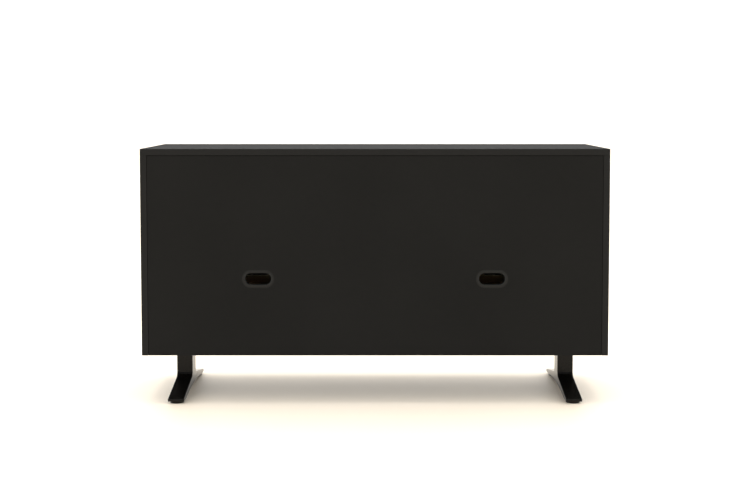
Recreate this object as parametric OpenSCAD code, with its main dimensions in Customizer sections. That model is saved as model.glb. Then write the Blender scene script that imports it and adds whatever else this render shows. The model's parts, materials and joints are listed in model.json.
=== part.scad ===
// Low cabinet of drawers on two inverted-T feet.
// Millimetres, +Z up. The origin is on the floor under the middle of the cabinet,
// the drawers face -Y, the back panel with its cable outlets faces +Y.

/* [Cabinet] */
// Overall width of the cabinet
body_w = 1600; // [1200:10:2000]
// Overall depth of the cabinet
body_d = 450; // [370:5:600]
// Height of the cabinet without its feet
body_h = 710; // [560:10:900]
// Height of the cabinet's underside above the floor
leg_h = 170; // [130:5:260]

/* [Panels] */
// Thickness of the top, bottom, sides and divider
panel_t = 22; // [18:0.5:30]
// Thickness of the back panel
back_t = 16; // [12:0.5:22]
// How far the back panel sits in from the back edges
back_recess = 1.5; // [1:0.5:6]
// Gap round the back panel's edges
back_seam = 0.6; // [0.3:0.1:2]
// Small chamfer on every panel edge
edge_ease = 0.8; // [0.3:0.1:2]

/* [Drawer fronts] */
// Thickness of a drawer front
front_t = 20; // [16:0.5:26]
// Height of an upper drawer's front
upper_front_h = 144; // [120:1:180]
// Gap between a front and the panel or front beside it
reveal = 3; // [2:0.5:5]
// Height of the finger gap above every front
grip_gap = 20; // [16:1:30]
// Thickness of a front's finger lip at its top edge
lip_t = 6; // [4:0.5:10]
// How far the slope behind the finger lip runs down
lip_h = 18; // [10:1:24]

/* [Rails behind the finger gaps] */
// Depth of a rail
rail_d = 60; // [50:1:90]
// Finger space between a front's inner face and the rail
rail_setback = 30; // [22:1:45]

/* [Drawer boxes] */
// Thickness of a drawer box's sides and ends
board_t = 15; // [12:0.5:18]
// Thickness of a drawer's base
base_t = 9; // [6:0.5:12]
// Depth of the groove that holds the base
groove_d = 7; // [4:0.5:9]
// Height of the groove above the box's lower edge
groove_rise = 12; // [8:1:20]
// Clearance of the base in its groove
groove_fit = 0.2; // [0.1:0.05:0.5]
// Space for cables behind the drawer boxes
cable_void = 60; // [40:5:100]
// How far a box's top edge is below its front's top edge
finger_room = 30; // [24:1:40]
// Clearance under a drawer box
floor_gap = 12; // [6:1:20]

/* [Slides] */
// Space between a drawer box and the wall beside it
slide_space = 13; // [12.5:0.1:16]
// Height of a slide's cabinet member
slide_h = 45; // [42:1:50]
// Sheet thickness of the slides
sheet_t = 1.2; // [1:0.1:1.5]
// Height of the slide's centre line above the box's lower edge
slide_rise = 40; // [32:1:46]

/* [Cable outlets] */
// Length of an outlet's oval opening
outlet_w = 88; // [60:1:120]
// Height of an outlet's oval opening
outlet_h = 40; // [30:1:60]
// Height of the outlets' centres above the cabinet's underside
outlet_rise = 265; // [120:5:400]
// Width of the flange round an outlet
flange_w = 11; // [6:0.5:18]
// Wall of an outlet's sleeve
sleeve_t = 2; // [1.5:0.1:3]
// Clearance between a sleeve and the back panel
sleeve_fit = 0.3; // [0.1:0.05:0.6]

/* [Feet] */
// Distance from the cabinet's side to a foot's outer face
foot_inset = 86; // [80:1:300]
// Width of a foot
foot_w = 56; // [40:1:80]
// Depth of a foot's post
post_d = 68; // [50:1:100]
// How far a foot's toes stay in from the cabinet's front and back
toe_setback = 7; // [0:1:40]
// Height of the arms where they meet the post
arm_root_h = 53; // [44:1:70]
// Thickness of a toe at its tip
tip_h = 9; // [8:0.5:14]
// Radius between the post and an arm
fillet_r = 19; // [8:1:26]
// Rise of the arch under a foot
arch_rise = 14; // [6:1:18]
// Thickness of a mounting plate
plate_t = 8; // [6:0.5:12]
// Width of a mounting plate
plate_w = 120; // [100:5:150]
// Length of a mounting plate
plate_l = 300; // [200:10:340]

/* [Glides] */
// Diameter of a glide
glide_d = 48; // [30:1:50]
// Height of a glide
glide_h = 8; // [6:0.5:10]
// Distance from the toe's tip to a glide's centre
glide_inset = 28; // [26:1:60]

/* [Fittings] */
// Diameter of the dowels
dowel_d = 8; // [6:1:10]
// Length of a dowel in the edge of a board
dowel_in_edge = 18; // [12:1:24]
// Diameter of a cam
cam_d = 15; // [12:1:16]
// Depth of a cam
cam_depth = 12; // [10:0.5:13]
// Distance from a joint to its cam's centre
cam_back = 34; // [24:1:40]
// Diameter of a cam's bolt
cam_bolt_d = 7; // [5:0.5:8]
// Diameter of the bolts that hold the feet
bolt_d = 8; // [6:1:10]
// Diameter of the slide screws
screw_d = 4; // [3:0.5:5]
// Diameter of the screws that hold the drawer fronts
front_screw_d = 4.5; // [3.5:0.5:6]
// Clearance round fittings in their holes
fit = 0.1; // [0.05:0.05:0.2]

/* [Hidden] */
$fn = 48;
eps = 0.01;
over = 1;

// Heights and faces of the cabinet
total_h = leg_h + body_h;
top_z = total_h - panel_t;
floor_z = leg_h + panel_t;
inner_x = body_w / 2 - panel_t;
front_y = -body_d / 2;
back_y = body_d / 2;
box_y0 = front_y + front_t;
back_face_y = back_y - back_recess;
back_in_y = back_face_y - back_t;

// Bays and rows of drawers
BAYS = [-1, 1];
BAY_NAMES = ["left", "right"];
ROWS = [0, 1, 2];
ROW_NAMES = ["upper", "centre", "lower"];
lower_front_h = (body_h - panel_t - 3 * grip_gap - upper_front_h) / 2;
function front_h(row) = row == 0 ? upper_front_h : lower_front_h;
function front_z(row) = leg_h + (2 - row) * (lower_front_h + grip_gap);
function floor_under(row) = row == 2 ? floor_z : front_z(row);
function box_z(row) = floor_under(row) + floor_gap;
function box_h(row) = front_z(row) + front_h(row) - finger_room - box_z(row);
function gap_z(row) = front_z(row) + front_h(row);
wall_in = panel_t / 2;
bay_w = inner_x - wall_in;
bay_mid = wall_in + bay_w / 2;
box_w = bay_w - 2 * slide_space;
box_l = back_in_y - cable_void - box_y0;
rail_y0 = box_y0 + rail_setback;
// Air between a closed front and the edges of the boards behind it
front_stop = 1;

// Slides
slide_front_gap = 3;
slide_l = box_l - 2 * slide_front_gap;
slide_y0 = box_y0 + slide_front_gap;
member_gap = 1.6;
race_step = 4.5;

// Fittings
in_face = panel_t / 2 - 1;
dowel_end = 1;
end_dowel_y = body_d / 2 - 60;
end_cam_y = body_d / 2 - 110;
END_DOWELS = [-end_dowel_y, 0, end_dowel_y];
END_CAMS = [-end_cam_y, end_cam_y];
rail_dowel_pitch = 28;
back_dowel_inset = 100;
cam_slot_w = 2;
cam_slot_l = 9;
cam_slot_d = 3;
screw_head_d = 2 * screw_d;
screw_head_t = 1;
screw_inset = 35;
bolt_head_t = 4;
bolt_head_d = 13;
bolt_grip = 14;
bolt_pitch_x = plate_w - 30;
bolt_pitch_y = plate_l - 50;
stud_d = 8;
stud_l = 8;
glide_ease = 1.5;
plate_corner_r = 10;
front_screw_l = board_t + 11;
front_screw_head_t = 2.5;
front_screw_head_d = 2 * front_screw_d;

// Feet
foot_x = body_w / 2 - foot_inset - foot_w / 2;
toe_y = body_d / 2 - toe_setback;
glide_y = toe_y - glide_inset;
sole_z = glide_h;
post_half = post_d / 2;
// the fillet's arc crosses the arm and the post instead of only touching them
fillet_cut = 0.02;
tip_top = sole_z + tip_h;
arm_slope = atan2(arm_root_h - tip_top, toe_y - post_half);
arch_half = glide_y - glide_d / 2;
arch_r = (arch_half * arch_half + arch_rise * arch_rise) / (2 * arch_rise);

BODY_COLOR = [0.16, 0.155, 0.148];
FOOT_COLOR = [0.12, 0.118, 0.115];
BOX_COLOR = [0.72, 0.60, 0.43];
STEEL_COLOR = [0.66, 0.67, 0.68];
PLASTIC_COLOR = [0.09, 0.09, 0.09];

CARCASE = ["top_panel", "bottom_panel", "left_side", "right_side", "centre_divider",
    "back_panel", "cross_rails"];
FITTINGS = ["outlet_grommets", "dowels", "cam_locks", "cam_bolts", "cabinet_slides",
    "slide_screws"];
STAND = ["left_foot", "right_foot", "foot_plates", "foot_bolts", "glides"];
DRAWER_PIECES = ["front", "sides", "ends", "base", "drawer_slides", "mid_slides", "screws"];
function drawer_name(row, bay) = str(ROW_NAMES[row], "_", BAY_NAMES[bay]);

// ---------------------------------------------------------------- shapes

// Rectangle with its four corners cut off at 45 degrees
module eased_rect(w, h, c) {
    polygon([[c, 0], [w - c, 0], [w, c], [w, h - c], [w - c, h], [c, h], [0, h - c], [0, c]]);
}

// Board between two corners, with every edge eased
module board(lo, hi, c = edge_ease) {
    size = hi - lo;
    translate(lo)
    intersection() {
        linear_extrude(size.z) eased_rect(size.x, size.y, c);
        along_y(0, size.y) eased_rect(size.x, size.z, c);
        along_x(0, size.x) eased_rect(size.y, size.z, c);
    }
}

// Outline in X and Z, extruded from y0 to y1
module along_y(y0, y1) {
    translate([0, y1, 0]) rotate([90, 0, 0]) linear_extrude(y1 - y0) children();
}

// Outline in Y and Z, extruded from x0 to x1
module along_x(x0, x1) {
    translate([x0, 0, 0]) rotate([90, 0, 90]) linear_extrude(x1 - x0) children();
}

// Oval with two straight sides and full round ends
module oval(w, h) {
    square([w - h, h], center = true);
    for (s = [-1, 1]) translate([s * (w - h) / 2, 0]) circle(d = h);
}

// Rectangle with round corners
module rounded_rect(w, h, r) {
    square([w - 2 * r, h], center = true);
    square([w, h - 2 * r], center = true);
    for (x = [-1, 1], y = [-1, 1]) translate([x * (w / 2 - r), y * (h / 2 - r)]) circle(r);
}

// Channel of bent sheet, open towards +X, centred on Y
module channel(depth, height, t) {
    difference() {
        translate([0, -height / 2]) square([depth, height]);
        translate([t, -height / 2 + t]) square([depth, height - 2 * t]);
    }
}

// Children made to face +X or, mirrored, -X
module facing(dir) {
    mirror([dir < 0 ? 1 : 0, 0, 0]) children();
}

// ------------------------------------------------- places of the joints
// At each place the local origin is on the joint's plane, +Z runs into the board
// that is drilled in its edge, and +X points to the face that shows the cam.

module at_top_of_sides(ys) {
    for (s = BAYS, y = ys) {
        translate([s * (body_w - panel_t) / 2, y, top_z])
        rotate(s < 0 ? [180, 0, 0] : [0, 180, 0]) children();
    }
}

module at_bottom_ends(ys) {
    for (s = BAYS, y = ys) {
        translate([s * inner_x, y, leg_h + panel_t / 2])
        rotate([0, -s * 90, 0])
        rotate([0, 0, s < 0 ? 180 : 0]) children();
    }
}

module at_divider_top(ys) {
    for (y = ys) translate([0, y, top_z]) rotate([180, 0, 0]) children();
}

module at_divider_foot(ys) {
    for (y = ys) translate([0, y, floor_z]) children();
}

module at_rail_ends() {
    y_mid = rail_y0 + rail_d / 2;
    for (row = ROWS, s = BAYS, e = [-1, 1]) {
        y = y_mid + e * rail_dowel_pitch / 2;
        z = gap_z(row) + grip_gap / 2;
        translate([s * inner_x, y, z]) rotate([0, -s * 90, 0]) children();
        translate([s * wall_in, y, z]) rotate([0, s * 90, 0]) children();
    }
}

module at_back_ends() {
    y = back_in_y + back_t / 2;
    for (s = BAYS, z = [leg_h + back_dowel_inset, top_z - back_dowel_inset]) {
        translate([s * inner_x, y, z]) rotate([0, -s * 90, 0]) children();
    }
}

// The two walls beside one drawer, with the origin on the wall at the slide's centre line
module at_slides(row, bay) {
    s = BAYS[bay];
    z = box_z(row) + slide_rise;
    translate([s * inner_x, 0, z]) facing(-s) children();
    translate([s * wall_in, 0, z]) facing(s) children();
}

module at_all_slides() {
    for (row = ROWS, bay = [0, 1]) at_slides(row, bay) children();
}

module at_slide_screws() {
    for (y = [slide_y0 + screw_inset, slide_y0 + slide_l - screw_inset]) {
        translate([0, y, 0]) rotate([0, 90, 0]) children();
    }
}

module at_feet() {
    for (s = BAYS) translate([s * foot_x, 0, 0]) children();
}

module at_foot_bolts() {
    for (x = [-1, 1], y = [-1, 1]) {
        translate([x * bolt_pitch_x / 2, y * bolt_pitch_y / 2, leg_h]) children();
    }
}

module at_toes() {
    for (e = [-1, 1]) translate([0, e * glide_y, 0]) children();
}

module at_outlets() {
    for (s = BAYS) translate([s * body_w / 4, 0, leg_h + outlet_rise]) children();
}

module at_front_screws(row, bay) {
    for (e = [-1, 1], z = [30, box_h(row) - 25]) {
        translate([BAYS[bay] * bay_mid + e * (box_w / 2 - 60), box_y0, box_z(row) + z])
        rotate([90, 0, 0]) children();
    }
}

// ------------------------------------------------- fittings and their holes

module dowel() {
    translate([0, 0, -in_face]) cylinder(d = dowel_d, h = in_face + dowel_in_edge);
}

module dowel_hole() {
    depth = in_face + dowel_in_edge + dowel_end;
    translate([0, 0, -in_face]) cylinder(d = dowel_d + 2 * fit, h = depth);
}

module cam_bolt() {
    translate([0, 0, -in_face]) cylinder(d = cam_bolt_d, h = in_face + cam_back - over);
}

module cam_bolt_hole() {
    translate([0, 0, -in_face]) cylinder(d = cam_bolt_d + 2 * fit, h = in_face + cam_back);
}

module cam_place() {
    translate([panel_t / 2 - cam_depth, 0, cam_back]) rotate([0, 90, 0]) children();
}

module cam() {
    difference() {
        cam_place() cylinder(d = cam_d, h = cam_depth);
        cam_bolt_hole();
        cam_place() translate([0, 0, cam_depth - cam_slot_d / 2 + eps]) {
            cube([cam_slot_l, cam_slot_w, cam_slot_d], center = true);
            cube([cam_slot_w, cam_slot_l, cam_slot_d], center = true);
        }
    }
}

module cam_holes() {
    cam_place() cylinder(d = cam_d + 2 * fit, h = cam_depth + over);
    cam_bolt_hole();
}

module slide_screw() {
    translate([0, 0, -in_face]) cylinder(d = screw_d, h = in_face + sheet_t);
    translate([0, 0, sheet_t]) cylinder(d = screw_head_d, h = screw_head_t);
}

module slide_screw_hole() {
    translate([0, 0, -in_face]) cylinder(d = screw_d + 2 * fit, h = in_face + sheet_t + over);
}

module front_screw() {
    difference() {
        union() {
            translate([0, 0, -board_t]) cylinder(d = front_screw_d, h = front_screw_l);
            translate([0, 0, -board_t - front_screw_head_t])
            cylinder(d = front_screw_head_d, h = front_screw_head_t);
        }
        translate([0, 0, -board_t - front_screw_head_t - over])
        cylinder(d = front_screw_d, h = front_screw_head_t, $fn = 6);
    }
}

module front_screw_hole() {
    depth = front_screw_l + over;
    translate([0, 0, -board_t - over]) cylinder(d = front_screw_d + 2 * fit, h = depth);
}

module foot_bolt() {
    difference() {
        union() {
            translate([0, 0, -plate_t]) cylinder(d = bolt_d, h = plate_t + bolt_grip);
            translate([0, 0, -plate_t - bolt_head_t])
            cylinder(d = bolt_head_d, h = bolt_head_t);
        }
        translate([0, 0, -plate_t - bolt_head_t - over])
        cylinder(d = bolt_head_d / 2, h = bolt_head_t - over, $fn = 6);
    }
}

module foot_bolt_hole() {
    translate([0, 0, -plate_t - over])
    cylinder(d = bolt_d + 2 * fit, h = plate_t + bolt_grip + over);
}

// ---------------------------------------------------------------- carcase

module top_panel() {
    color(BODY_COLOR)
    difference() {
        board([-body_w / 2, front_y, top_z], [body_w / 2, back_y, total_h]);
        at_top_of_sides(END_DOWELS) dowel_hole();
        at_top_of_sides(END_CAMS) cam_bolt_hole();
        at_divider_top(END_DOWELS) dowel_hole();
        at_divider_top(END_CAMS) cam_bolt_hole();
    }
}

module bottom_panel() {
    color(BODY_COLOR)
    difference() {
        board([-inner_x, box_y0 + front_stop, leg_h], [inner_x, back_in_y, floor_z]);
        at_bottom_ends(END_DOWELS) dowel_hole();
        at_bottom_ends(END_CAMS) cam_holes();
        at_divider_foot(END_DOWELS) dowel_hole();
        at_divider_foot(END_CAMS) cam_bolt_hole();
        at_feet() at_foot_bolts() foot_bolt_hole();
    }
}

module side_panel(bay) {
    s = BAYS[bay];
    x0 = s < 0 ? -body_w / 2 : inner_x;
    color(BODY_COLOR)
    difference() {
        board([x0, front_y, leg_h], [x0 + panel_t, back_y, top_z]);
        at_top_of_sides(END_DOWELS) dowel_hole();
        at_top_of_sides(END_CAMS) cam_holes();
        at_bottom_ends(END_DOWELS) dowel_hole();
        at_bottom_ends(END_CAMS) cam_bolt_hole();
        at_back_ends() dowel_hole();
        at_rail_ends() dowel_hole();
        for (row = ROWS) at_slides(row, bay) at_slide_screws() slide_screw_hole();
    }
}

module centre_divider() {
    color(BODY_COLOR)
    difference() {
        board([-wall_in, box_y0 + front_stop, floor_z], [wall_in, back_in_y, top_z]);
        at_divider_top(END_DOWELS) dowel_hole();
        at_divider_top(END_CAMS) cam_holes();
        at_divider_foot(END_DOWELS) dowel_hole();
        at_divider_foot(END_CAMS) cam_holes();
        at_rail_ends() dowel_hole();
        at_all_slides() at_slide_screws() slide_screw_hole();
    }
}

module back_panel() {
    half_w = inner_x - back_seam;
    hole = 2 * (sleeve_t + sleeve_fit);
    color(BODY_COLOR)
    difference() {
        board([-half_w, back_in_y, leg_h], [half_w, back_face_y, top_z - back_seam]);
        at_outlets() along_y(back_in_y - over, back_y) oval(outlet_w + hole, outlet_h + hole);
        at_back_ends() dowel_hole();
    }
}

module cross_rails() {
    color(BODY_COLOR)
    difference() {
        for (row = ROWS, s = BAYS) {
            x0 = s < 0 ? -inner_x : wall_in;
            board([x0, rail_y0, gap_z(row)], [x0 + bay_w, rail_y0 + rail_d, gap_z(row) + grip_gap]);
        }
        at_rail_ends() dowel_hole();
    }
}

module outlet_grommets() {
    color(PLASTIC_COLOR)
    at_outlets()
    difference() {
        union() {
            along_y(back_face_y, back_y) oval(outlet_w + 2 * flange_w, outlet_h + 2 * flange_w);
            along_y(back_in_y, back_face_y + eps)
            oval(outlet_w + 2 * sleeve_t, outlet_h + 2 * sleeve_t);
        }
        along_y(back_in_y - over, back_y + over) oval(outlet_w, outlet_h);
    }
}

module dowels() {
    color(BOX_COLOR) {
        at_top_of_sides(END_DOWELS) dowel();
        at_bottom_ends(END_DOWELS) dowel();
        at_divider_top(END_DOWELS) dowel();
        at_divider_foot(END_DOWELS) dowel();
        at_rail_ends() dowel();
        at_back_ends() dowel();
    }
}

module cam_locks() {
    color(STEEL_COLOR) {
        at_top_of_sides(END_CAMS) cam();
        at_bottom_ends(END_CAMS) cam();
        at_divider_top(END_CAMS) cam();
        at_divider_foot(END_CAMS) cam();
    }
}

module cam_bolts() {
    color(STEEL_COLOR) {
        at_top_of_sides(END_CAMS) cam_bolt();
        at_bottom_ends(END_CAMS) cam_bolt();
        at_divider_top(END_CAMS) cam_bolt();
        at_divider_foot(END_CAMS) cam_bolt();
    }
}

// ---------------------------------------------------------------- slides
// Each slide has three nested channels: one on the wall, one that floats, one on the drawer.

module cabinet_slides() {
    color(STEEL_COLOR)
    at_all_slides()
    difference() {
        along_y(slide_y0, slide_y0 + slide_l)
        channel(slide_space - 2 * member_gap, slide_h, sheet_t);
        at_slide_screws() slide_screw_hole();
    }
}

module slide_screws() {
    color(STEEL_COLOR) at_all_slides() at_slide_screws() slide_screw();
}

module mid_slides(row, bay) {
    near = sheet_t + member_gap;
    far = slide_space - sheet_t - member_gap;
    color(STEEL_COLOR)
    at_slides(row, bay)
    along_y(slide_y0, slide_y0 + slide_l)
    translate([near, 0]) channel(far - near, slide_h - 2 * race_step, sheet_t);
}

module drawer_slides(row, bay) {
    reach = slide_space - 2 * (sheet_t + member_gap);
    color(STEEL_COLOR)
    at_slides(row, bay)
    along_y(slide_y0, slide_y0 + slide_l)
    translate([slide_space, 0])
    mirror([1, 0]) channel(reach, slide_h - 4 * race_step, sheet_t);
}

// ---------------------------------------------------------------- drawers

// Section of a front in Y and Z: a thin lip at the top edge with a slope behind it
module front_section(h) {
    polygon([[0, edge_ease], [edge_ease, 0], [front_t, 0], [front_t, h - lip_h],
        [lip_t, h], [edge_ease, h], [0, h - edge_ease]]);
}

module drawer_front(row, bay) {
    near = reveal / 2;
    far = inner_x - reveal;
    x0 = BAYS[bay] < 0 ? -far : near;
    color(BODY_COLOR)
    difference() {
        translate([0, front_y, front_z(row)])
        along_x(x0, x0 + far - near) front_section(front_h(row));
        at_front_screws(row, bay) front_screw_hole();
    }
}

// Groove for the base, cut out of all four boards of a drawer box
module base_groove(row, bay) {
    reach = board_t - groove_d;
    translate([BAYS[bay] * bay_mid - box_w / 2 + reach, box_y0 + reach, box_z(row) + groove_rise])
    cube([box_w - 2 * reach, box_l - 2 * reach, base_t + groove_fit]);
}

module drawer_sides(row, bay) {
    x_mid = BAYS[bay] * bay_mid;
    color(BOX_COLOR)
    difference() {
        for (x0 = [x_mid - box_w / 2, x_mid + box_w / 2 - board_t]) {
            board([x0, box_y0, box_z(row)], [x0 + board_t, box_y0 + box_l, box_z(row) + box_h(row)]);
        }
        base_groove(row, bay);
    }
}

module drawer_ends(row, bay) {
    x0 = BAYS[bay] * bay_mid - box_w / 2 + board_t;
    x1 = x0 + box_w - 2 * board_t;
    color(BOX_COLOR)
    difference() {
        for (y0 = [box_y0, box_y0 + box_l - board_t]) {
            board([x0, y0, box_z(row)], [x1, y0 + board_t, box_z(row) + box_h(row)]);
        }
        base_groove(row, bay);
        at_front_screws(row, bay) front_screw_hole();
    }
}

module drawer_base(row, bay) {
    reach = board_t - groove_d + groove_fit;
    x0 = BAYS[bay] * bay_mid - box_w / 2 + reach;
    z0 = box_z(row) + groove_rise;
    color(BOX_COLOR)
    translate([x0, box_y0 + reach, z0])
    cube([box_w - 2 * reach, box_l - 2 * reach, base_t]);
}

module drawer_screws(row, bay) {
    color(STEEL_COLOR) at_front_screws(row, bay) front_screw();
}

// ---------------------------------------------------------------- feet

// A foot's outline in Y and Z
module foot_outline() {
    root_z = arm_root_h - fillet_r * tan(arm_slope) + fillet_r / cos(arm_slope);
    root_y = post_half + fillet_r;
    touch = [root_y - fillet_r * sin(arm_slope), root_z - fillet_r * cos(arm_slope)];
    half = [[toe_y, sole_z], [toe_y, tip_top], touch, [root_y, root_z], [post_half, root_z],
        [post_half, leg_h - plate_t]];
    difference() {
        polygon(concat(half, [for (i = [len(half) - 1:-1:0]) [-half[i][0], half[i][1]]]));
        for (e = [-1, 1]) translate([e * root_y, root_z]) circle(fillet_r + fillet_cut);
        translate([0, sole_z + arch_rise - arch_r]) circle(arch_r, $fn = 360);
    }
}

module foot(bay) {
    color(FOOT_COLOR)
    translate([BAYS[bay] * foot_x, 0, 0])
    difference() {
        along_x(-foot_w / 2, foot_w / 2) foot_outline();
        at_toes() translate([0, 0, sole_z - over])
        cylinder(d = stud_d + 2 * fit, h = stud_l + 2 * over);
    }
}

module foot_plates() {
    color(FOOT_COLOR)
    at_feet()
    difference() {
        translate([0, 0, leg_h - plate_t])
        linear_extrude(plate_t) rounded_rect(plate_w, plate_l, plate_corner_r);
        at_foot_bolts() foot_bolt_hole();
    }
}

module foot_bolts() {
    color(STEEL_COLOR) at_feet() at_foot_bolts() foot_bolt();
}

module glide() {
    r = glide_d / 2;
    rotate_extrude()
    polygon([[0, 0], [r - glide_ease, 0], [r, glide_ease], [r, glide_h], [stud_d / 2, glide_h],
        [stud_d / 2, glide_h + stud_l], [0, glide_h + stud_l]]);
}

module glides() {
    color(PLASTIC_COLOR) at_feet() at_toes() glide();
}

// ---------------------------------------------------------------- nodes

top_panel();
bottom_panel();
side_panel(0);  // left_side
side_panel(1);  // right_side
centre_divider();
back_panel();
cross_rails();
outlet_grommets();
dowels();
cam_locks();
cam_bolts();
cabinet_slides();
slide_screws();
foot(0);  // left_foot
foot(1);  // right_foot
foot_plates();
foot_bolts();
glides();
for (row = ROWS, bay = [0, 1]) {
    name = drawer_name(row, bay);
    drawer_front(row, bay);
    drawer_sides(row, bay);
    drawer_ends(row, bay);
    drawer_base(row, bay);
    drawer_slides(row, bay);
    mid_slides(row, bay);
    drawer_screws(row, bay);
}
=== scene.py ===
"""Low matt black chest of drawers on inverted-T feet, laid out as an add-on.

Each operator makes one piece or one group of like pieces around the part's frame.
"""

import json
import math

import bmesh
import bpy
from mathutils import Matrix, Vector


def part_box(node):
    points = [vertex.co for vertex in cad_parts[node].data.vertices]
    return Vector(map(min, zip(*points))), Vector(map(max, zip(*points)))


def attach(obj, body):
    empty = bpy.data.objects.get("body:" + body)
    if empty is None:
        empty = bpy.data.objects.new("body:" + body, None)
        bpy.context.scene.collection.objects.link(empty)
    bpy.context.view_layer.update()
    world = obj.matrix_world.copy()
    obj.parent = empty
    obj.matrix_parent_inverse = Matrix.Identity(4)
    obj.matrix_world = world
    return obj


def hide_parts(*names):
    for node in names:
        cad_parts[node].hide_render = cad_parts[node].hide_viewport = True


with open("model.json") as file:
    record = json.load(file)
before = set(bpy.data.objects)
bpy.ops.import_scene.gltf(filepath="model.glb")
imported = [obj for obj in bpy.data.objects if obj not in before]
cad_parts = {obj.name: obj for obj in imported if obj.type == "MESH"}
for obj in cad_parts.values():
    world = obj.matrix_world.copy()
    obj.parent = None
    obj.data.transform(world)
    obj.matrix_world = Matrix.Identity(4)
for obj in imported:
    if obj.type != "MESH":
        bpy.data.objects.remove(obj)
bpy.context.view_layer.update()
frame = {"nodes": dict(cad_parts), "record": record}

bl_info = {
    "name": "Chest of drawers on T feet",
    "version": (1, 0, 0),
    "blender": (4, 5, 0),
    "location": "3D View > Sidebar > Chest",
    "description": "A low matt black chest of drawers with cable outlets and inverted-T feet",
    "category": "Add Mesh",
}

MM = 0.001
X, Y, Z = 0, 1, 2
TRIM_EDGE, GLIDE_EDGE, BASE_EDGE = 0.3 * MM, 0.4 * MM, 0.5 * MM  # radii on the small pieces
CUT_PAST = 5 * MM  # how far a cutter reaches past the board that it cuts
OUTLET_PLAY = 0.3 * MM  # room round an outlet's sleeve in the back
GROOVE_PLAY = 0.2 * MM  # room round a drawer's base in its groove
PLY = 1.4 * MM  # thickness of one ply
ROWS = ("upper", "centre", "lower")
BAYS = ("left", "right")
DRAWERS = [f"{row}_{bay}" for row in ROWS for bay in BAYS]


# ---------------------------------------------------------------- settings


def length(name, description, default):
    """A length that a user may change, in metres."""
    return bpy.props.FloatProperty(
        name=name, description=description, default=default, min=0.0, unit="LENGTH", precision=4
    )


def colour(name, description, default):
    """A linear colour that a user may change."""
    return bpy.props.FloatVectorProperty(
        name=name, description=description, default=default, min=0.0, max=1.0, subtype="COLOR"
    )


class ChestSizes(bpy.types.PropertyGroup):
    """Sizes of the details that the frame doesn't hold."""

    board_edge: length("Board edge", "Radius on the edges of the lacquered boards", 1.0 * MM)
    box_edge: length("Box edge", "Radius on the edges of the drawer boxes", 1.2 * MM)
    foot_edge: length("Foot edge", "Radius on the edges of the feet", 1.2 * MM)
    outlet_length: length("Outlet length", "Length of an outlet's oval opening", 88 * MM)
    outlet_height: length("Outlet height", "Height of an outlet's oval opening", 40 * MM)
    outlet_wall: length("Outlet wall", "Wall of an outlet's sleeve", 2 * MM)
    lip: length("Lip", "Thickness of a front's finger lip", 6 * MM)
    lip_slope: length("Lip slope", "How far the slope behind the lip runs down", 18 * MM)
    board: length("Box board", "Thickness of a drawer box's boards", 15 * MM)
    post_depth: length("Post depth", "Depth of a foot's post", 68 * MM)
    arm_root: length("Arm root", "Height of a foot's arms at the post", 53 * MM)
    tip: length("Tip", "Thickness of a toe at its tip", 9 * MM)
    fillet: length("Fillet", "Radius between the post and an arm", 19 * MM)
    arch: length("Arch", "Rise of the arch under a foot", 14 * MM)
    glide_foot: length("Glide foot", "Height of a glide's soft lower ring", 3 * MM)


class ChestFinishes(bpy.types.PropertyGroup):
    """Colours of the finishes."""

    lacquer: colour("Lacquer", "Matt charcoal lacquer", (0.0130, 0.0130, 0.0126))
    foot_coat: colour("Foot coat", "Satin black powder coat", (0.0045, 0.0041, 0.0036))
    trim: colour("Outlet trim", "Moulded plastic of the outlets", (0.0100, 0.0106, 0.0104))
    glide: colour("Glide", "Moulded plastic of the glides", (0.018, 0.014, 0.010))
    birch: colour("Birch", "Light wood of the drawer boxes", (0.46, 0.375, 0.275))
    zinc: colour("Zinc", "Plated steel of slides and fittings", (0.56, 0.57, 0.585))
    floor: colour("Floor", "Pale studio floor", (0.90, 0.80, 0.66))


def sizes():
    """The scene's sizes."""
    return bpy.context.scene.chest_sizes


def finishes():
    """The scene's colours."""
    return bpy.context.scene.chest_finishes


# ---------------------------------------------------------------- modelling by hand


def deselect():
    """Leaves object mode with nothing selected."""
    if bpy.context.object and bpy.context.object.mode != "OBJECT":
        bpy.ops.object.mode_set(mode="OBJECT")
    bpy.ops.object.select_all(action="DESELECT")


def activate(piece):
    """Selects one piece and makes it active."""
    deselect()
    piece.select_set(True)
    bpy.context.view_layer.objects.active = piece


def settle(piece):
    """Puts a piece's object at the origin, with its place in its mesh."""
    activate(piece)
    bpy.ops.object.transform_apply(location=True, rotation=True, scale=True)


def new_block(name, lo, hi):
    """A block between two corners."""
    deselect()
    lo, hi = Vector(lo), Vector(hi)
    bpy.ops.mesh.primitive_cube_add(size=1, location=(lo + hi) / 2)
    piece = bpy.context.object
    piece.name = piece.data.name = name
    piece.scale = hi - lo
    settle(piece)
    return piece


def edit(piece, kind="FACE"):
    """Opens a piece in edit mode with nothing selected."""
    activate(piece)
    bpy.ops.object.mode_set(mode="EDIT")
    bpy.ops.mesh.select_mode(type=kind)
    bpy.ops.mesh.select_all(action="DESELECT")


def pick(piece, test, kind="faces"):
    """Selects the faces, edges or vertices that pass a test, in edit mode."""
    mesh = bmesh.from_edit_mesh(piece.data)
    for item in getattr(mesh, kind):
        item.select_set(bool(test(item)))
    if kind != "faces":
        mesh.select_flush_mode()
    bmesh.update_edit_mesh(piece.data)


def done(piece):
    """Leaves edit mode."""
    bpy.ops.object.mode_set(mode="OBJECT")
    return piece


def apply_modifier(piece, kind, **values):
    """Adds a modifier, sets it and applies it."""
    activate(piece)
    modifier = piece.modifiers.new(kind.title(), kind)
    for key, value in values.items():
        setattr(modifier, key, value)
    bpy.ops.object.modifier_apply(modifier=modifier.name)


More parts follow.
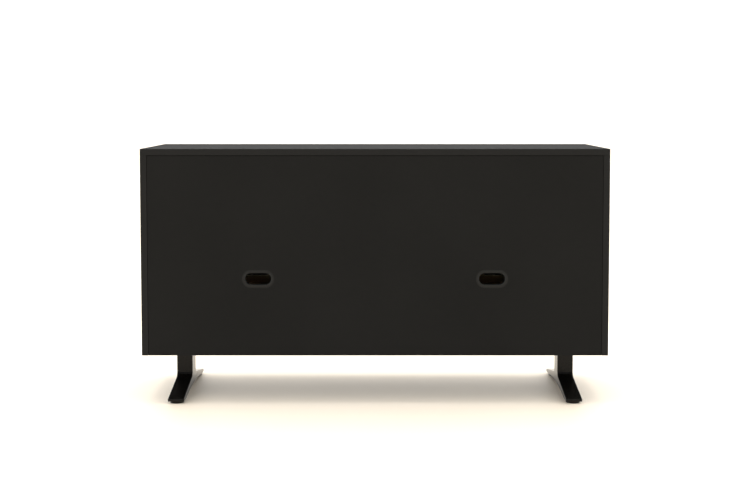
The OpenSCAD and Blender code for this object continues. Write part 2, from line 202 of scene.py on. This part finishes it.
def round_edges(piece, radius, segments=3, angle=30):
    """Rounds a piece's sharp edges and shades them smooth, while its flat faces stay flat."""
    apply_modifier(
        piece, "BEVEL", width=radius, segments=segments, limit_method="ANGLE",
        angle_limit=math.radians(angle), use_clamp_overlap=True,
    )
    activate(piece)
    bpy.ops.object.shade_smooth_by_angle(angle=math.radians(50))
    apply_modifier(piece, "WEIGHTED_NORMAL", weight=100, keep_sharp=True)
    return piece


def cut_out(piece, cutter):
    """Takes the cutter's shape out of the piece and deletes the cutter."""
    apply_modifier(piece, "BOOLEAN", operation="DIFFERENCE", solver="EXACT", object=cutter)
    bpy.data.objects.remove(cutter)


def join(pieces):
    """Joins pieces into the first of them."""
    activate(pieces[0])
    for piece in pieces[1:]:
        piece.select_set(True)
    bpy.ops.object.join()
    return pieces[0]


def draw_outline(name, points):
    """Draws a closed outline point by point, starting from one vertex, and fills it."""
    deselect()
    bpy.ops.mesh.primitive_plane_add(size=MM, location=points[0])
    piece = bpy.context.object
    piece.name = piece.data.name = name
    settle(piece)
    edit(piece, "VERT")
    bpy.ops.mesh.select_all(action="SELECT")
    bpy.ops.mesh.merge(type="CENTER")
    here = Vector(points[0])
    for point in points[1:]:
        step = Vector(point) - here
        bpy.ops.mesh.extrude_vertices_move(TRANSFORM_OT_translate={"value": step})
        here = Vector(point)
    bpy.ops.mesh.select_all(action="SELECT")
    bpy.ops.mesh.edge_face_add()
    return done(piece)


def pull(piece, step):
    """Extrudes a filled outline along a step into a closed solid."""
    edit(piece)
    bpy.ops.mesh.select_all(action="SELECT")
    bpy.ops.mesh.extrude_region_move(TRANSFORM_OT_translate={"value": step})
    bpy.ops.mesh.select_all(action="SELECT")
    bpy.ops.mesh.normals_make_consistent(inside=False)
    return done(piece)


def arc(centre, radius, start, end, steps):
    """Points along an arc in Y and Z, its two ends included. Angles are in degrees from +Y."""
    turn = [math.radians(start + (end - start) * i / steps) for i in range(steps + 1)]
    return [(centre[0] + radius * math.cos(a), centre[1] + radius * math.sin(a)) for a in turn]


def give(piece, *materials):
    """Gives a piece its materials, in slot order."""
    piece.data.materials.clear()
    for material in materials:
        piece.data.materials.append(material)
    return piece


def band_edges(board, through):
    """Gives a board its lacquered faces and, round the thickness along an axis, its banding."""
    give(board, charcoal_lacquer(), edge_banding())
    edit(board)
    pick(board, lambda face: abs(face.normal[through]) < 0.5)
    board.active_material_index = 1
    bpy.ops.object.material_slot_assign()
    return done(board)


def copy_of(piece, shift):
    """A copy of a piece with a mesh of its own, moved by a shift."""
    activate(piece)
    bpy.ops.object.duplicate(linked=False)
    bpy.ops.transform.translate(value=shift)
    twin = bpy.context.object
    settle(twin)
    return twin


def turned_copy(piece, centre):
    """A copy of a piece, turned half round about an upright line through a point."""
    twin = copy_of(piece, (0, 0, 0))
    bpy.ops.transform.rotate(value=math.pi, orient_axis="Z", center_override=centre)
    settle(twin)
    return twin


def make_alike(nodes, model):
    """One piece for each node: modelled once for each size, then copied to where it repeats."""
    first, pieces = {}, {}
    for node in nodes:
        lo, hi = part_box(node)
        size = (hi - lo).to_tuple(4)
        if size in first:
            pieces[node] = copy_of(pieces[first[size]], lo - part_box(first[size])[0])
        else:
            pieces[node] = model(node)
            first[size] = node
    return pieces


def stand_for(piece, name, body, node):
    """Names and settles a piece, lets it ride on a body and hides the CAD node that it is."""
    piece.name = piece.data.name = name
    settle(piece)
    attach(piece, body)
    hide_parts(node)


# ---------------------------------------------------------------- finishes


class Finish:
    """A node tree under construction for one named material."""

    DRIFT = (0.3, 0.7)  # what a slow noise stays between, nearly everywhere
    FACTOR, COLOUR_A, COLOUR_B, COLOUR_OUT = 0, 6, 7, 2  # a Mix node's sockets for colours

    def __init__(self, name):
        self.material = bpy.data.materials.new(name)
        self.material.use_nodes = True
        self.tree = self.material.node_tree
        self.shader = self.tree.nodes["Principled BSDF"]
        self.place = self.tree.nodes.new("ShaderNodeTexCoord").outputs["Object"]

    def node(self, kind, inputs=(), **values):
        """Adds a node, sets its properties and its inputs, and links sockets."""
        made = self.tree.nodes.new("ShaderNode" + kind)
        for key, value in values.items():
            setattr(made, key, value)
        for key, value in dict(inputs).items():
            if isinstance(value, bpy.types.NodeSocket):
                self.tree.links.new(value, made.inputs[key])
            else:
                made.inputs[key].default_value = value
        return made

    def stretched(self, scale):
        """Object coordinates scaled along each axis."""
        return self.node("Mapping", {"Vector": self.place, "Scale": scale}).outputs["Vector"]

    def noise(self, scale, detail=2.0, vector=None, rough=0.5):
        """Noise with so many features a metre, or on stretched coordinates if they are given."""
        inputs = {"Scale": scale, "Detail": detail, "Roughness": rough}
        inputs["Vector"] = vector or self.place
        return self.node("TexNoise", inputs).outputs["Fac"]

    def span(self, value, low, high, start=0.0, end=1.0):
        """Maps a value from start..end to low..high, held at both ends."""
        inputs = {"Value": value, "From Min": start, "From Max": end, "To Min": low, "To Max": high}
        return self.node("MapRange", inputs).outputs["Result"]

    def math(self, operation, a, b=0.0):
        """Reckons with one value or two."""
        return self.node("Math", {0: a, 1: b}, operation=operation).outputs[0]

    def mix(self, factor, a, b):
        """Mixes two colours."""
        inputs = {self.FACTOR: factor, self.COLOUR_A: a, self.COLOUR_B: b}
        return self.node("Mix", inputs, data_type="RGBA").outputs[self.COLOUR_OUT]

    def clouded(self, cloud, tone, low, high):
        """A tone that drifts between two gains with a slow noise."""
        return self.mix(self.span(cloud, 0.0, 1.0, *self.DRIFT), rgba(tone, low), rgba(tone, high))

    def uneven(self, cloud, slow, grain, fine):
        """A roughness that drifts through one range, with a fine grain of another on top."""
        return self.math("ADD", self.span(cloud, *slow, *self.DRIFT), self.span(grain, *fine))

    def bump(self, height, depth, below=None):
        """Bump of a real depth in metres, on top of another bump if one is given."""
        inputs = {"Height": height, "Distance": depth}
        if below is not None:
            inputs["Normal"] = below
        return self.node("Bump", inputs).outputs["Normal"]

    def set(self, **sockets):
        """Sets or links the shader's sockets; an underscore in a name is a space."""
        for key, value in sockets.items():
            socket = self.shader.inputs[key.replace("_", " ")]
            if isinstance(value, bpy.types.NodeSocket):
                self.tree.links.new(value, socket)
            else:
                socket.default_value = value
        return self.material


def rgba(tone, gain=1.0):
    """A linear colour with its alpha, made lighter or darker."""
    return tuple(min(1.0, channel * gain) for channel in tone) + (1.0,)


def once(build):
    """Makes a finish the first time that it's asked for and hands the same one out again."""
    made = {}

    def finish(*args):
        if args not in made:
            made[args] = build(*args)
        return made[args]

    return finish


@once
def charcoal_lacquer():
    """Matt sprayed lacquer: slight clouding, a fine orange-peel skin and uneven sheen."""
    f = Finish("charcoal_lacquer")
    tone = finishes().lacquer
    cloud = f.noise(2.6, 3.0)
    grain = f.noise(420.0, 2.0)
    tint = f.clouded(cloud, tone, 0.93, 1.08)
    speck = f.span(f.noise(900.0, 1.0), 0.0, 0.35, 0.62, 0.8)
    tint = f.mix(speck, tint, rgba(tone, 1.7))
    sheen = f.uneven(cloud, (0.87, 0.92), grain, (-0.04, 0.04))
    peel = f.bump(f.noise(260.0, 2.0), 0.06 * MM)
    skin = f.bump(grain, 0.03 * MM, below=peel)
    return f.set(Base_Color=tint, Roughness=sheen, Normal=skin, Specular_IOR_Level=0.05)


@once
def edge_banding():
    """The banding glued round a board: the same tone, a little paler, with a milled grain."""
    f = Finish("edge_banding")
    tone = finishes().lacquer
    cloud = f.noise(9.0, 3.0)
    grain = f.noise(1100.0, 2.0)
    tint = f.clouded(cloud, tone, 0.90, 1.02)
    sheen = f.uneven(cloud, (0.62, 0.68), grain, (-0.04, 0.04))
    return f.set(Base_Color=tint, Roughness=sheen, Normal=f.bump(grain, 0.05 * MM),
                 Specular_IOR_Level=0.12)


@once
def powder_coat():
    """Satin black powder coat on steel, with its pebbled skin."""
    f = Finish("powder_coat")
    tone = finishes().foot_coat
    pebble = f.noise(520.0, 3.0)
    cloud = f.noise(14.0, 3.0)
    tint = f.clouded(cloud, tone, 0.85, 1.25)
    sheen = f.uneven(cloud, (0.14, 0.19), pebble, (-0.02, 0.04))
    skin = f.bump(pebble, 0.05 * MM)
    return f.set(Base_Color=tint, Roughness=sheen, Normal=skin, Specular_IOR_Level=0.16)


@once
def moulded_plastic(name, tone, rough):
    """Moulded plastic with a fine spark-eroded grain."""
    f = Finish(name)
    grain = f.noise(1300.0, 2.0)
    cloud = f.noise(40.0, 2.0)
    tint = f.clouded(cloud, tone, 0.9, 1.12)
    sheen = f.uneven(cloud, (rough - 0.04, rough + 0.04), grain, (-0.04, 0.04))
    return f.set(Base_Color=tint, Roughness=sheen, Normal=f.bump(grain, 0.04 * MM),
                 Specular_IOR_Level=0.2)


@once
def plated_steel():
    """Zinc-plated sheet: faint spangle, drawing lines along Y and small stains."""
    f = Finish("plated_steel")
    tone = finishes().zinc
    spangle = f.node("TexVoronoi", {"Vector": f.place, "Scale": 260.0}).outputs["Color"]
    lines = f.noise(900.0, 2.0, f.stretched((1.0, 0.02, 1.0)))
    stain = f.noise(30.0, 4.0)
    value = f.math("ADD", f.span(spangle, 0.0, 0.5), f.span(lines, 0.0, 0.5))
    tint = f.mix(value, rgba(tone, 0.86), rgba(tone, 1.12))
    tint = f.mix(f.span(stain, 0.0, 0.4, 0.55, 0.75), tint, rgba(tone, 0.7))
    sheen = f.math("ADD", f.span(value, 0.26, 0.40), f.span(stain, 0.0, 0.08, 0.4, 0.7))
    return f.set(Base_Color=tint, Metallic=1.0, Roughness=sheen,
                 Normal=f.bump(lines, 0.02 * MM))


@once
def birch_ply(part, along, across, mid, half):
    """Varnished birch plywood: grain along one axis, and its plies where an edge is cut.

    mid and half give the middle of the pair of boards along their thickness and the
    distance from there to the outer faces, so that the plies follow both boards.
    """
    f = Finish(f"birch_ply_{part}")
    tone = finishes().birch
    scale = [34.0, 34.0, 34.0]
    scale[along] = 1.6
    grain_place = f.stretched(tuple(scale))
    rings = f.noise(1.0, 5.0, grain_place, 0.6)
    fine = [620.0, 620.0, 620.0]
    fine[along] = 22.0
    pores = f.noise(1.0, 2.0, f.stretched(tuple(fine)))
    cloud = f.noise(3.4, 3.0)
    bands = f.math("SINE", f.math("MULTIPLY", rings, 46.0))
    tint = f.mix(f.span(bands, 0.0, 0.55, -1.0, 1.0), rgba(tone, 1.06), rgba(tone, 0.80))
    tint = f.mix(f.span(cloud, 0.0, 0.35, 0.35, 0.7), tint,
                         (tone[0] * 0.86, tone[1] * 0.74, tone[2] * 0.62, 1.0))
    tint = f.mix(f.span(pores, 0.0, 0.30, 0.58, 0.80), tint, rgba(tone, 0.45))
    axis = f.node("SeparateXYZ", {0: f.place}).outputs[across]
    inner = f.math("ABSOLUTE", f.math("SUBTRACT", axis, mid))
    depth = f.math("SUBTRACT", half + 0.2 * MM, inner)  # the outer faces lie within the first ply
    ply = f.math("FLOOR", f.math("DIVIDE", depth, PLY))
    odd = f.math("MODULO", f.math("ABSOLUTE", ply), 2.0)
    glue = f.math("FRACT", f.math("DIVIDE", depth, PLY))
    tint = f.mix(f.math("MULTIPLY", odd, 0.55), tint, rgba(tone, 0.52))
    line = f.span(glue, 0.6, 0.0, 0.0, 0.14)
    deep = f.math("GREATER_THAN", depth, PLY / 2)
    tint = f.mix(f.math("MULTIPLY", line, deep), tint, rgba(tone, 0.2))
    sheen = f.math("ADD", f.span(bands, 0.40, 0.50, -1.0, 1.0), f.span(pores, 0.0, 0.08))
    skin = f.bump(pores, 0.04 * MM, below=f.bump(bands, 0.03 * MM))
    return f.set(Base_Color=tint, Roughness=sheen, Normal=skin)


@once
def beech():
    """Plain turned beech with short dark flecks."""
    f = Finish("beech")
    flecks = f.noise(380.0, 2.0, f.stretched((1.0, 1.0, 0.2)))
    cloud = f.noise(24.0, 3.0)
    tint = f.mix(cloud, (0.62, 0.42, 0.25, 1), (0.50, 0.33, 0.19, 1))
    tint = f.mix(f.span(flecks, 0.0, 0.6, 0.55, 0.7), tint, (0.26, 0.15, 0.08, 1))
    return f.set(Base_Color=tint, Roughness=f.span(flecks, 0.55, 0.7),
                 Normal=f.bump(flecks, 0.03 * MM))


@once
def studio_floor():
    """Pale seamless floor with a barely visible clouding."""
    f = Finish("studio_floor")
    tone = finishes().floor
    cloud = f.noise(0.9, 3.0)
    tint = f.clouded(cloud, tone, 0.995, 1.005)
    return f.set(Base_Color=tint, Roughness=f.span(cloud, 0.55, 0.6))


# ---------------------------------------------------------------- operators


class CHEST_OT_top(bpy.types.Operator):
    """Makes the top, one banded board over the whole cabinet"""

    bl_idname = "chest.top"
    bl_label = "Top"
    bl_options = {"REGISTER", "UNDO"}

    def execute(self, context):
        board = band_edges(new_block("top", *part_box("top_panel")), Z)
        round_edges(board, sizes().board_edge)
        stand_for(board, "Top_board", "root", "top_panel")
        return {"FINISHED"}


class CHEST_OT_sides(bpy.types.Operator):
    """Makes one side board and copies it to the other end"""

    bl_idname = "chest.sides"
    bl_label = "Sides"
    bl_options = {"REGISTER", "UNDO"}

    def execute(self, context):
        boards = make_alike([f"{bay}_side" for bay in BAYS], self.model)
        for bay in BAYS:
            stand_for(boards[f"{bay}_side"], f"Side_board_{bay}", "root", f"{bay}_side")
        return {"FINISHED"}

    def model(self, node):
        """A banded board with eased edges."""
        board = band_edges(new_block(node, *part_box(node)), X)
        return round_edges(board, sizes().board_edge)


def oval_ring(name, centre, width, height, y, count=64):
    """An oval loop of vertices with full round ends, in a plane across Y."""
    deselect()
    bpy.ops.mesh.primitive_circle_add(vertices=count, radius=height / 2, location=(0, 0, 0),
                                      rotation=(math.pi / 2, 0, 0))
    piece = bpy.context.object
    piece.name = piece.data.name = name
    settle(piece)
    shift = (width - height) / 2
    for side in (-1, 1):
        edit(piece, "VERT")
        pick(piece, lambda v, s=side: v.co.x * s > 0.01 * MM, "verts")
        bpy.ops.transform.translate(value=(side * shift, 0, 0))
        done(piece)
    piece.location = (centre.x, y, centre.z)
    settle(piece)
    return piece


def outlet_centres():
    """The middle of the left and of the right cable outlet, from the part's mounts."""
    mounts = {m["name"]: Vector(m["pos_m"]) for m in frame["record"]["mounts"]}
    return [mounts[f"{bay}_cable_outlet"] for bay in BAYS]


class CHEST_OT_back(bpy.types.Operator):
    """Makes the back board, set in between the sides, with its two oval cut-outs"""

    bl_idname = "chest.back"
    bl_label = "Back"
    bl_options = {"REGISTER", "UNDO"}

    def execute(self, context):
        lo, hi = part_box("back_panel")
        board = new_block("back", lo, hi)
        left, right = outlet_centres()
        cutter = self.cutter(left, lo.y - CUT_PAST, hi.y + CUT_PAST)
        for tool in (copy_of(cutter, right - left), cutter):
            cut_out(board, tool)
        give(board, charcoal_lacquer())
        round_edges(board, sizes().board_edge)
        stand_for(board, "Back_board", "root", "back_panel")
        return {"FINISHED"}

    def cutter(self, centre, front, back):
        """A solid oval, a little larger than an outlet's sleeve."""
        room = 2 * (sizes().outlet_wall + OUTLET_PLAY)
        oval = oval_ring("cutter", centre, sizes().outlet_length + room,
                         sizes().outlet_height + room, front)
        edit(oval)
        bpy.ops.mesh.select_all(action="SELECT")
        bpy.ops.mesh.edge_face_add()
        return pull(done(oval), (0, back - front, 0))


class CHEST_OT_outlets(bpy.types.Operator):
    """Makes the moulded trim of one cable outlet, an oval sleeve with a flange, and copies it"""

    bl_idname = "chest.outlets"
    bl_label = "Cable outlets"
    bl_options = {"REGISTER", "UNDO"}

    def execute(self, context):
        left, right = outlet_centres()
        trim = self.trim(left)
        give(trim, moulded_plastic("outlet_plastic", tuple(finishes().trim), 0.42))
        round_edges(trim, TRIM_EDGE, 2)
        pair = join([trim, copy_of(trim, right - left)])
        stand_for(pair, "Outlet_trims", "root", "outlet_grommets")
        return {"FINISHED"}

    def trim(self, centre):
        """Oval loops, from the sleeve's inner end round the flange, bridged into a shell."""
        lo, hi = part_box("outlet_grommets")
        flange = hi.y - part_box("back_panel")[1].y
        wall, face = sizes().outlet_wall, hi.y
        open_w, open_h = sizes().outlet_length, sizes().outlet_height
        outer_h = hi.z - lo.z
        outer_w = open_w + outer_h - open_h
        rings = [
            (open_w + 2 * wall, open_h + 2 * wall, lo.y),
            (open_w, open_h, lo.y),
            (open_w, open_h, face - 0.6 * flange),
            (open_w + 1.2 * flange, open_h + 1.2 * flange, face),
            (outer_w - 3.2 * flange, outer_h - 3.2 * flange, face),
            (outer_w, outer_h, face - 0.75 * flange),
            (outer_w, outer_h, face - flange),
            (open_w + 2 * wall, open_h + 2 * wall, face - flange),
        ]
        trim = join([oval_ring(f"ring_{i}", centre, *ring) for i, ring in enumerate(rings)])
        edit(trim, "EDGE")
        bpy.ops.mesh.select_all(action="SELECT")
        bpy.ops.mesh.bridge_edge_loops(type="CLOSED")
        bpy.ops.mesh.select_all(action="SELECT")
        bpy.ops.mesh.remove_doubles(threshold=0.001 * MM)
        bpy.ops.mesh.normals_make_consistent(inside=False)
        return done(trim)


class CHEST_OT_fronts(bpy.types.Operator):
    """Makes the six drawer fronts, each with a finger lip along its top edge"""

    bl_idname = "chest.fronts"
    bl_label = "Drawer fronts"
    bl_options = {"REGISTER", "UNDO"}

    def execute(self, context):
        fronts = make_alike([f"{drawer}_front" for drawer in DRAWERS], self.model)
        for drawer in DRAWERS:
            stand_for(fronts[f"{drawer}_front"], f"Front_{drawer}", f"{drawer}_drawer",
                      f"{drawer}_front")
        return {"FINISHED"}

    def model(self, node):
        """A block whose top slopes down behind the lip."""
        lo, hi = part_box(node)
        depth = hi.y - lo.y - sizes().lip
        if depth <= 0:
            raise ValueError("The finger lip is thicker than the drawer front.")
        front = new_block(node, lo, hi)
        edit(front)
        bpy.ops.mesh.select_all(action="SELECT")
        bpy.ops.mesh.bisect(
            plane_co=(0, lo.y + sizes().lip, hi.z),
            plane_no=(0, sizes().lip_slope, depth),
            use_fill=True,
            clear_outer=True,
        )
        done(front)
        return round_edges(band_edges(front, Y), sizes().board_edge)


class CHEST_OT_boxes(bpy.types.Operator):
    """Makes the six plywood drawer boxes: two sides, two ends and a base each"""

    bl_idname = "chest.boxes"
    bl_label = "Drawer boxes"
    bl_options = {"REGISTER", "UNDO"}

    def execute(self, context):
        self.make("sides", lambda node: self.pair(node, X), X, Y)
        self.make("ends", lambda node: self.pair(node, Y), Y, X)
        self.make("base", self.base, Z, X)
        return {"FINISHED"}

    def make(self, part, model, across, along):
        """One part of all six boxes; each gets plywood whose plies lie where its boards are."""
        made = make_alike([f"{drawer}_{part}" for drawer in DRAWERS], model)
        for drawer in DRAWERS:
            node = f"{drawer}_{part}"
            lo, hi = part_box(node)
            mid, half = (lo[across] + hi[across]) / 2, (hi[across] - lo[across]) / 2
            give(made[node], birch_ply(part, along, across, round(mid, 5), round(half, 5)))
            stand_for(made[node], f"Box_{part}_{drawer}", f"{drawer}_drawer", node)

    def pair(self, node, across):
        """A grooved board and its copy turned to face it, as far apart as the node says."""
        lo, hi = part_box(node)
        high = hi.copy()
        high[across] = lo[across] + sizes().board
        board = new_block(node, lo, high)
        self.cut_groove(board, node.rsplit("_", 1)[0])
        both = join([board, turned_copy(board, (lo + hi) / 2)])
        return round_edges(both, sizes().box_edge)

    def cut_groove(self, board, drawer):
        """Cuts the groove that holds a drawer's base into its board."""
        lo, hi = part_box(f"{drawer}_base")
        room = Vector((GROOVE_PLAY, GROOVE_PLAY, 0))
        groove = new_block("groove", lo - room, hi + room + Vector((0, 0, GROOVE_PLAY)))
        cut_out(board, groove)

    def base(self, node):
        """A thin board, held in the grooves of the other four."""
        return round_edges(new_block(node, *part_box(node)), BASE_EDGE, 2)


class CHEST_OT_inner_boards(bpy.types.Operator):
    """Gives the bottom, the divider and the cross rails their lacquer"""

    bl_idname = "chest.inner_boards"
    bl_label = "Inner boards"
    bl_options = {"REGISTER", "UNDO"}

    def execute(self, context):
        for node in ("bottom_panel", "centre_divider", "cross_rails"):
            give(frame["nodes"][node], charcoal_lacquer())
        return {"FINISHED"}


class CHEST_OT_fittings(bpy.types.Operator):
    """Gives the slides, screws, cams, bolts and dowels their finishes"""

    bl_idname = "chest.fittings"
    bl_label = "Slides and fittings"
    bl_options = {"REGISTER", "UNDO"}

    def execute(self, context):
        steel = ["cabinet_slides", "slide_screws", "cam_locks", "cam_bolts", "foot_bolts"]
        for drawer in DRAWERS:
            steel += [f"{drawer}_{piece}" for piece in ("drawer_slides", "mid_slides", "screws")]
        for node in steel:
            give(frame["nodes"][node], plated_steel())
        give(frame["nodes"]["dowels"], beech())
        give(frame["nodes"]["foot_plates"], powder_coat())
        return {"FINISHED"}


class CHEST_OT_feet(bpy.types.Operator):
    """Makes one inverted-T foot and copies it to the other end"""

    bl_idname = "chest.feet"
    bl_label = "Feet"
    bl_options = {"REGISTER", "UNDO"}

    def execute(self, context):
        if sizes().tip >= sizes().arm_root:
            raise ValueError("A toe's tip is thicker than the arm's root.")
        feet = make_alike([f"{bay}_foot" for bay in BAYS], self.model)
        for bay in BAYS:
            give(feet[f"{bay}_foot"], powder_coat())
            stand_for(feet[f"{bay}_foot"], f"Foot_{bay}", "root", f"{bay}_foot")
        return {"FINISHED"}

    def model(self, node):
        """The outline drawn on the foot's outer side and pulled across its width."""
        lo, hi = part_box(node)
        points = [(lo.x, y, z) for y, z in self.outline(lo, hi)]
        foot = pull(draw_outline(node, points), (hi.x - lo.x, 0, 0))
        return round_edges(foot, sizes().foot_edge, 3, 35)

    def outline(self, lo, hi):
        """A foot's outline in Y and Z: one half, then its mirror image."""
        s = sizes()
        half_post, toe, sole = s.post_depth / 2, hi.y, lo.z
        tip_top = sole + s.tip
        slope = math.atan2(s.arm_root - tip_top, toe - half_post)
        root = (half_post + s.fillet,
                s.arm_root - s.fillet * math.tan(slope) + s.fillet / math.cos(slope))
        flat_from = glide_centre().y - glide_radius()
        arch_r = (flat_from**2 + s.arch**2) / (2 * s.arch)
        arch_end = math.degrees(math.acos(flat_from / arch_r))
        under = arc((0, sole + s.arch - arch_r), arch_r, 90, arch_end, 12)
        bend = arc(root, s.fillet, 270 - math.degrees(slope), 180, 10)
        half = under + [(toe, sole), (toe, tip_top)] + bend + [(half_post, hi.z)]
        return half + [(-y, z) for y, z in reversed(half[1:])]


def glide_radius():
    """A glide's radius: how far the glides reach past the middle of the right foot."""
    lo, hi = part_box("right_foot")
    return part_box("glides")[1].x - (lo.x + hi.x) / 2


def glide_centre():
    """The middle of the right-hand back glide, on the floor."""
    corner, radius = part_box("glides")[1], glide_radius()
    return Vector((corner.x - radius, corner.y - radius, 0))


class CHEST_OT_glides(bpy.types.Operator):
    """Makes one round glide and copies it under the other three toes"""

    bl_idname = "chest.glides"
    bl_label = "Glides"
    bl_options = {"REGISTER", "UNDO"}

    def execute(self, context):
        place = glide_centre()
        disc = self.disc(place, glide_radius(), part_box("right_foot")[0].z)
        give(disc, moulded_plastic("glide_plastic", tuple(finishes().glide), 0.5))
        round_edges(disc, GLIDE_EDGE, 2, 25)
        across, along = (-2 * place.x, 0, 0), (0, -2 * place.y, 0)
        pair = join([disc, copy_of(disc, across)])
        stand_for(join([pair, copy_of(pair, along)]), "Glides", "root", "glides")
        return {"FINISHED"}

    def disc(self, place, radius, height):
        """One glide: a soft ring below a slimmer housing, and a hollow sole."""
        deselect()
        ring = sizes().glide_foot
        bpy.ops.mesh.primitive_cylinder_add(vertices=64, radius=radius, depth=ring,
                                            location=place + Vector((0, 0, ring / 2)))
        disc = bpy.context.object
        settle(disc)
        for inset, rise in ((1.6 * MM, 0.0), (0.8 * MM, height - ring)):
            edit(disc)
            pick(disc, lambda f: f.normal.z > 0.9 and len(f.verts) > 4)
            bpy.ops.mesh.inset(thickness=inset)
            if rise:
                bpy.ops.mesh.extrude_region_move(TRANSFORM_OT_translate={"value": (0, 0, rise)})
            done(disc)
        edit(disc)
        pick(disc, lambda f: f.normal.z < -0.9 and len(f.verts) > 4)
        bpy.ops.mesh.inset(thickness=1.5 * MM)
        bpy.ops.mesh.extrude_region_move(TRANSFORM_OT_translate={"value": (0, 0, 1.2 * MM)})
        return done(disc)


class CHEST_OT_stage(bpy.types.Operator):
    """Makes the camera, the pale floor and the soft studio light"""

    bl_idname = "chest.stage"
    bl_label = "Stage"
    bl_options = {"REGISTER", "UNDO"}

    # The camera: metres behind the back and above the floor, degrees below level, lens in mm.
    BEHIND, ABOVE, DOWN = 3.724, 1.036, 2.98
    LENS, SENSOR, SHIFT = 52.64, 36.0, -0.12
    # The dome: its strength low in front, low behind and high up, how far back a direction
    # points where it is dimmest, and how far up where it leaves the low and reaches the high.
    LOW_FRONT, LOW_BACK, HIGH = 2.8, 0.15, 1.65
    DIMMEST, LOW_TO, HIGH_FROM = 0.8, 0.18, 0.58
    # The light above: its place, the point that it faces, its side in metres and its watts.
    LAMP, LAMP_AIM, LAMP_SIZE, LAMP_POWER = (0, -0.35, 3.0), (0, 0, 0.2), 2.4, 70
    FLOOR = 60

    def execute(self, context):
        self.camera()
        self.floor()
        self.dome()
        self.lamp()
        view = context.scene.view_settings
        view.view_transform = "Standard"
        view.look = "None"
        return {"FINISHED"}

    def camera(self):
        """The camera stands behind the chest, at its middle, a little above its top."""
        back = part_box("back_panel")[1].y
        deselect()
        bpy.ops.object.camera_add(location=(0.0, back + self.BEHIND, self.ABOVE))
        camera = bpy.context.object
        camera.name = "Camera_back"
        camera.rotation_euler = (math.radians(90 - self.DOWN), 0, math.pi)
        camera.data.sensor_width = self.SENSOR
        camera.data.lens = self.LENS
        camera.data.shift_y = self.SHIFT
        camera.data.clip_end = 100.0
        bpy.context.scene.camera = camera

    def floor(self):
        """A pale floor far larger than the chest."""
        deselect()
        bpy.ops.mesh.primitive_plane_add(size=self.FLOOR, location=(0, 0, 0))
        floor = bpy.context.object
        floor.name = "Studio_floor"
        give(floor, studio_floor())

    def dome(self):
        """A white dome, dimmer low down behind the chest, and white where the camera sees it."""
        world = bpy.data.worlds.new("studio_white")
        bpy.context.scene.world = world
        world.use_nodes = True
        tree = world.node_tree

        def node(kind, inputs, **values):
            made = tree.nodes.new("ShaderNode" + kind)
            for key, value in values.items():
                setattr(made, key, value)
            for key, value in dict(inputs).items():
                if isinstance(value, bpy.types.NodeSocket):
                    tree.links.new(value, made.inputs[key])
                else:
                    made.inputs[key].default_value = value
            return made

        way = node("SeparateXYZ", {0: node("TexCoord", {}).outputs["Generated"]})
        low = node("MapRange", {"Value": way.outputs["Y"], "From Min": 0.0,
                                "From Max": self.DIMMEST, "To Min": self.LOW_FRONT,
                                "To Max": self.LOW_BACK})
        rise = node("MapRange", {"Value": way.outputs["Z"], "From Min": self.LOW_TO,
                                 "From Max": self.HIGH_FROM}, interpolation_type="SMOOTHSTEP")
        light = node("Mix", {"Factor": rise.outputs["Result"], "A": low.outputs["Result"],
                             "B": self.HIGH})
        camera_ray = node("LightPath", {}).outputs["Is Camera Ray"]
        seen = node("Math", {0: light.outputs[0], 1: camera_ray}, operation="MAXIMUM")
        shade = tree.nodes["Background"]
        shade.inputs["Color"].default_value = (1.0, 1.0, 1.0, 1.0)
        tree.links.new(seen.outputs[0], shade.inputs["Strength"])

    def lamp(self):
        """A large square soft light above."""
        bpy.ops.object.light_add(type="AREA", location=self.LAMP)
        light = bpy.context.object
        light.name = "overhead"
        light.data.size = self.LAMP_SIZE
        light.data.energy = self.LAMP_POWER
        facing = Vector(self.LAMP_AIM) - Vector(self.LAMP)
        light.rotation_euler = facing.to_track_quat("-Z", "Y").to_euler()


class CHEST_PT_panel(bpy.types.Panel):
    """Lists the chest's sizes, finishes and pieces."""

    bl_idname = "CHEST_PT_panel"
    bl_label = "Chest of drawers"
    bl_space_type = "VIEW_3D"
    bl_region_type = "UI"
    bl_category = "Chest"

    def draw(self, context):
        """Draws the settings, then a button for each operator."""
        for group in (context.scene.chest_sizes, context.scene.chest_finishes):
            column = self.layout.column(align=True)
            for name in group.__annotations__:
                column.prop(group, name)
        column = self.layout.column()
        for operator in OPERATORS:
            column.operator(operator.bl_idname)


OPERATORS = (
    CHEST_OT_stage,
    CHEST_OT_top,
    CHEST_OT_sides,
    CHEST_OT_back,
    CHEST_OT_outlets,
    CHEST_OT_fronts,
    CHEST_OT_boxes,
    CHEST_OT_inner_boards,
    CHEST_OT_fittings,
    CHEST_OT_feet,
    CHEST_OT_glides,
)
CLASSES = (ChestSizes, ChestFinishes, *OPERATORS, CHEST_PT_panel)


def register():
    """Registers the classes and hangs their settings on the scene."""
    for cls in CLASSES:
        bpy.utils.register_class(cls)
    bpy.types.Scene.chest_sizes = bpy.props.PointerProperty(type=ChestSizes)
    bpy.types.Scene.chest_finishes = bpy.props.PointerProperty(type=ChestFinishes)


def unregister():
    """Takes back what register did."""
    del bpy.types.Scene.chest_finishes
    del bpy.types.Scene.chest_sizes
    for cls in reversed(CLASSES):
        bpy.utils.unregister_class(cls)


def main():
    """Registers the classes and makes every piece."""
    register()
    for operator in OPERATORS:
        getattr(bpy.ops.chest, operator.bl_idname.split(".")[1])()


if __name__ == "__main__":
    main()
